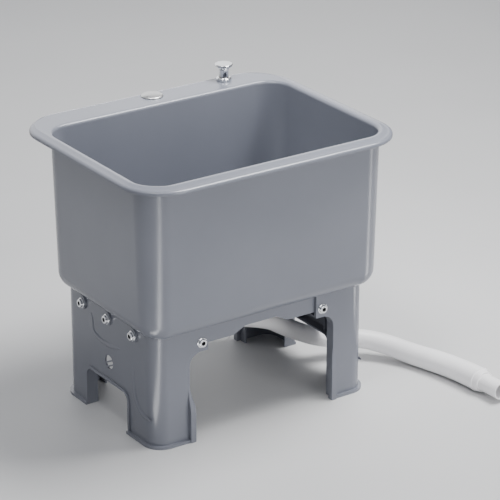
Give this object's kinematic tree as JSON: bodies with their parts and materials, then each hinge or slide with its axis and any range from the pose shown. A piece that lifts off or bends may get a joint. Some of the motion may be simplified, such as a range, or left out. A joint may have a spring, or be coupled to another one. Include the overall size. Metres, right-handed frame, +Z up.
{
  "type": "utility laundry sink",
  "caption": "Free-standing laundry sink: deep rounded tub with a rear deck on a bolted stand of end frames and rails, pull-knob pop-up waste and a drain hose.",
  "frame": {"origin": "on the floor, under the middle of the tub's rim", "axes": "+X to the right along the long side, +Y towards the rear deck and the wall, +Z up"},
  "size_m": [0.6293, 0.5242, 0.489],
  "materials": {
    "tub_plastic": "satin grey moulding",
    "stand_plastic": "satin grey moulding",
    "zinc_steel": "zinc plated",
    "satin_metal": "satin",
    "plated_brass": "plated",
    "wire_steel": "drawn wire",
    "sheath_plastic": "smooth",
    "white_plastic": "smooth",
    "crank_plastic": "smooth",
    "hose_plastic": "soft satin",
    "rubber_seals": "matt",
    "chrome_plate": "polished"
  },
  "bodies": {
    "sink": {"tub": "tub_plastic", "left_end_frame": "stand_plastic", "right_end_frame": "stand_plastic", "front_rail": "stand_plastic", "rear_rail": "stand_plastic", "left_side_screws": "chrome_plate", "right_side_screws": "chrome_plate", "front_rail_screws": "chrome_plate", "rear_rail_screws": "chrome_plate", "rail_nuts": "zinc_steel", "tap_hole_cap": "satin_metal", "knob_base_ring": "chrome_plate", "knob_guide_bush": "plated_brass", "knob_washer": "rubber_seals", "knob_lock_nut": "plated_brass", "cable_sheath": "sheath_plastic", "cable_clips": "stand_plastic", "drain_gasket": "rubber_seals", "drain_flange": "satin_metal", "drain_washer": "rubber_seals", "drain_lock_nut": "white_plastic", "drain_body": "white_plastic", "crank_pin": "zinc_steel", "hose_nut": "white_plastic", "hose_seal": "rubber_seals", "drain_hose": "hose_plastic", "hose_cuff": "hose_plastic", "hose_spigot": "hose_plastic"},
    "knob": {"lift_knob": "chrome_plate", "pull_wire": "wire_steel"},
    "stopper": {"drain_stopper": "chrome_plate", "stopper_seal": "rubber_seals"},
    "crank": {"lift_crank": "crank_plastic"},
    "cable_end": {"crank_wire": "wire_steel"}
  },
  "joints": [
    {"name": "knob_lift", "type": "slide", "parent": "sink", "child": "knob", "axis": [0, 0, 1], "range_m": [0, 0.01]},
    {"name": "stopper_lift", "type": "slide", "parent": "sink", "child": "stopper", "axis": [0, 0, 1], "range_m": [0, 0.0131]},
    {"name": "crank_turn", "type": "hinge", "parent": "sink", "child": "crank", "pos_m": [0, 0.023, 0.126], "axis": [1, 0, 0], "range_deg": [-19.2, 0]},
    {"name": "cable_pull", "type": "slide", "parent": "sink", "child": "cable_end", "axis": [0, 1, 0], "range_m": [0, 0.0101]}
  ],
  "couplings": [
    {"joint": "stopper_lift", "follows": "knob_lift", "ratio": 1.3},
    {"joint": "crank_turn", "follows": "knob_lift", "rad_per_m": -33.333},
    {"joint": "cable_pull", "follows": "knob_lift", "ratio": 1}
  ]
}
